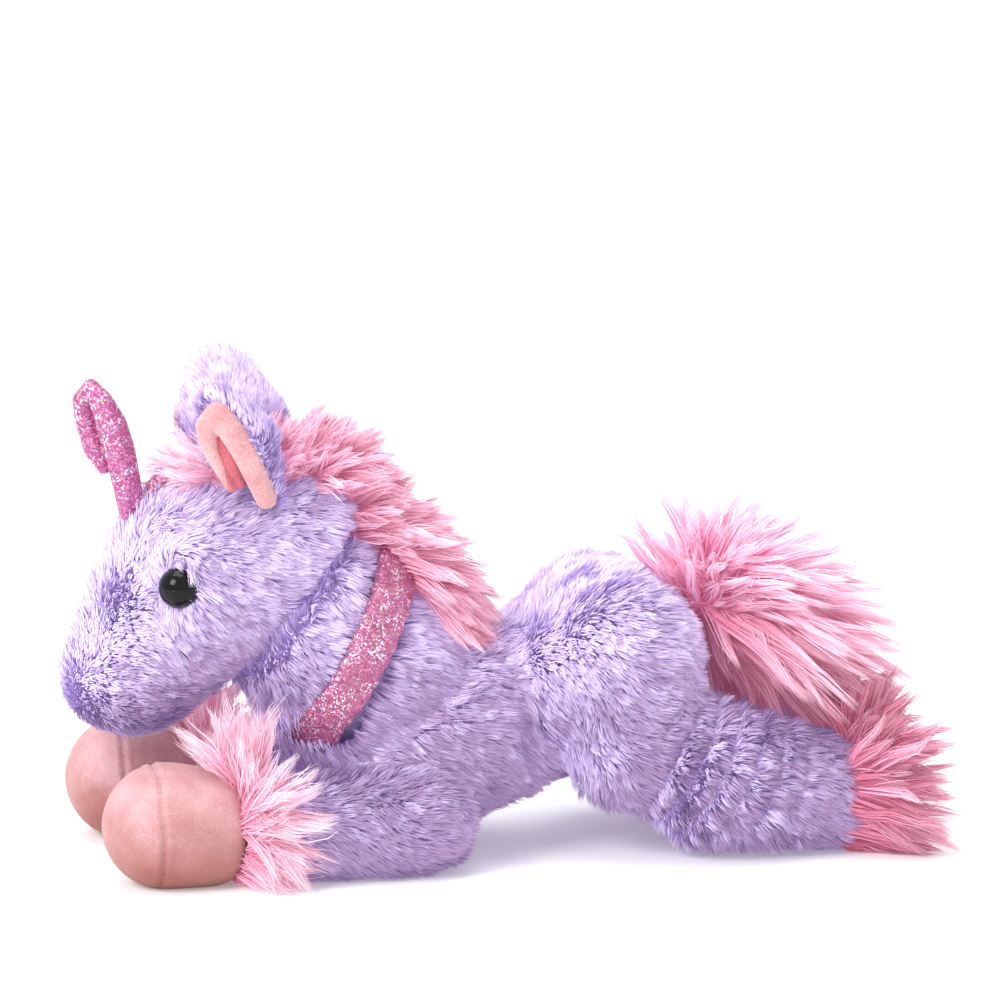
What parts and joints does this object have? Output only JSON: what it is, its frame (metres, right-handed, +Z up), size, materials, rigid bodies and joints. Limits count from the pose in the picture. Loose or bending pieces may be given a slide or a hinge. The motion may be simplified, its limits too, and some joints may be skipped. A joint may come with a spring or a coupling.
{
  "type": "plush unicorn",
  "caption": "Lying plush unicorn: stuffed lavender body, soft glitter horn and collar, pink long-pile mane, fringes and tail, peach hooves; neck, head, ears, horn, legs and tail bend",
  "frame": {"origin": "on the floor under the middle of the bounding box", "axes": "+Z up; the unicorn faces -X, so its tail is at +X; its left side, the one shown, is at -Y; +Y is its right"},
  "size_m": [0.3, 0.125, 0.166],
  "materials": {
    "lavender_plush": "lavender medium-pile plush, paler at the tips",
    "pink_long_pile": "pink long pile in pointed locks",
    "pink_backing": "pink knitted backing of the long pile",
    "peach_velour": "peach short-nap velour",
    "ear_velour": "pale peach-pink short-nap velour",
    "collar_glitter_cloth": "rose knit with glitter",
    "horn_glitter_cloth": "magenta-pink knit with glitter",
    "fibre_stuffing": "loose polyester fibre",
    "eye_plastic": "black, polished dome",
    "washer_plastic": "white"
  },
  "bodies": {
    "trunk": {"trunk_cover": "lavender_plush", "trunk_stuffing": "fibre_stuffing", "mane_withers": "pink_long_pile"},
    "neck": {"neck_cover": "lavender_plush", "neck_stuffing": "fibre_stuffing", "collar": "collar_glitter_cloth", "mane_neck": "pink_long_pile"},
    "head": {"head_cover": "lavender_plush", "head_stuffing": "fibre_stuffing", "eye_left": "eye_plastic", "eye_right": "eye_plastic", "eye_washer_left": "washer_plastic", "eye_washer_right": "washer_plastic", "mane_poll": "pink_long_pile", "forelock": "pink_long_pile", "horn_tab": "horn_glitter_cloth"},
    "horn": {"horn_cover": "horn_glitter_cloth", "horn_stuffing": "fibre_stuffing"},
    "tail": {"tail_core": "pink_backing", "tail_hair": "pink_long_pile"},
    "ear_left": {"ear_shell_left": "lavender_plush", "ear_lining_left": "ear_velour"},
    "foreleg_left": {"foreleg_cover_left": "lavender_plush", "foreleg_stuffing_left": "fibre_stuffing", "fore_hoof_cover_left": "peach_velour", "fore_hoof_stuffing_left": "fibre_stuffing", "fore_fringe_left": "pink_long_pile"},
    "thigh_left": {"thigh_cover_left": "lavender_plush", "thigh_stuffing_left": "fibre_stuffing"},
    "shank_left": {"shank_cover_left": "lavender_plush", "shank_stuffing_left": "fibre_stuffing", "hind_hoof_cover_left": "peach_velour", "hind_hoof_stuffing_left": "fibre_stuffing", "hind_fringe_left": "pink_long_pile"},
    "ear_right": {"ear_shell_right": "lavender_plush", "ear_lining_right": "ear_velour"},
    "foreleg_right": {"foreleg_cover_right": "lavender_plush", "foreleg_stuffing_right": "fibre_stuffing", "fore_hoof_cover_right": "peach_velour", "fore_hoof_stuffing_right": "fibre_stuffing", "fore_fringe_right": "pink_long_pile"},
    "thigh_right": {"thigh_cover_right": "lavender_plush", "thigh_stuffing_right": "fibre_stuffing"},
    "shank_right": {"shank_cover_right": "lavender_plush", "shank_stuffing_right": "fibre_stuffing", "hind_hoof_cover_right": "peach_velour", "hind_hoof_stuffing_right": "fibre_stuffing", "hind_fringe_right": "pink_long_pile"}
  },
  "joints": [
    {"name": "neck_nod", "type": "hinge", "parent": "trunk", "child": "neck", "pos_m": [-0.048, 0, 0.062], "axis": [0, 1, 0], "range_deg": [0, 15], "stiffness_Nm_per_rad": 0.4},
    {"name": "head_turn", "type": "hinge", "parent": "neck", "child": "head", "pos_m": [-0.07504, 0, 0.08924], "axis": [-0.7997, 0, 0.6004], "range_deg": [-25, 25], "stiffness_Nm_per_rad": 0.3},
    {"name": "horn_bend", "type": "hinge", "parent": "head", "child": "horn", "pos_m": [-0.1266, 0, 0.121], "axis": [0, -1, 0], "range_deg": [-4, 18], "stiffness_Nm_per_rad": 0.02},
    {"name": "tail_lift", "type": "hinge", "parent": "trunk", "child": "tail", "pos_m": [0.0648, 0, 0.0816], "axis": [0, -1, 0], "range_deg": [0, 20], "stiffness_Nm_per_rad": 0.03},
    {"name": "ear_left_fold", "type": "hinge", "parent": "head", "child": "ear_left", "pos_m": [-0.088, -0.0203, 0.128], "axis": [0.5999, -0.7927, 0.108], "range_deg": [-8, 9], "stiffness_Nm_per_rad": 0.02},
    {"name": "shoulder_left", "type": "hinge", "parent": "trunk", "child": "foreleg_left", "pos_m": [-0.038, -0.0375, 0.017], "axis": [0, -1, 0], "range_deg": [0, 70], "stiffness_Nm_per_rad": 0.15},
    {"name": "hip_left", "type": "hinge", "parent": "trunk", "child": "thigh_left", "pos_m": [0.035, -0.022, 0.066], "axis": [0, -1, 0], "range_deg": [-32, 4], "stiffness_Nm_per_rad": 0.3},
    {"name": "knee_left", "type": "hinge", "parent": "thigh_left", "child": "shank_left", "pos_m": [0.066, -0.0295, 0.026], "axis": [0, -1, 0], "range_deg": [-15, 5], "stiffness_Nm_per_rad": 0.2},
    {"name": "ear_right_fold", "type": "hinge", "parent": "head", "child": "ear_right", "pos_m": [-0.088, 0.0203, 0.128], "axis": [-0.592, -0.7927, 0.1454], "range_deg": [-8, 9], "stiffness_Nm_per_rad": 0.02},
    {"name": "shoulder_right", "type": "hinge", "parent": "trunk", "child": "foreleg_right", "pos_m": [-0.038, 0.0375, 0.017], "axis": [0, -1, 0], "range_deg": [0, 70], "stiffness_Nm_per_rad": 0.15},
    {"name": "hip_right", "type": "hinge", "parent": "trunk", "child": "thigh_right", "pos_m": [0.035, 0.022, 0.066], "axis": [0, -1, 0], "range_deg": [-32, 4], "stiffness_Nm_per_rad": 0.3},
    {"name": "knee_right", "type": "hinge", "parent": "thigh_right", "child": "shank_right", "pos_m": [0.066, 0.0295, 0.026], "axis": [0, -1, 0], "range_deg": [-15, 5], "stiffness_Nm_per_rad": 0.2}
  ]
}
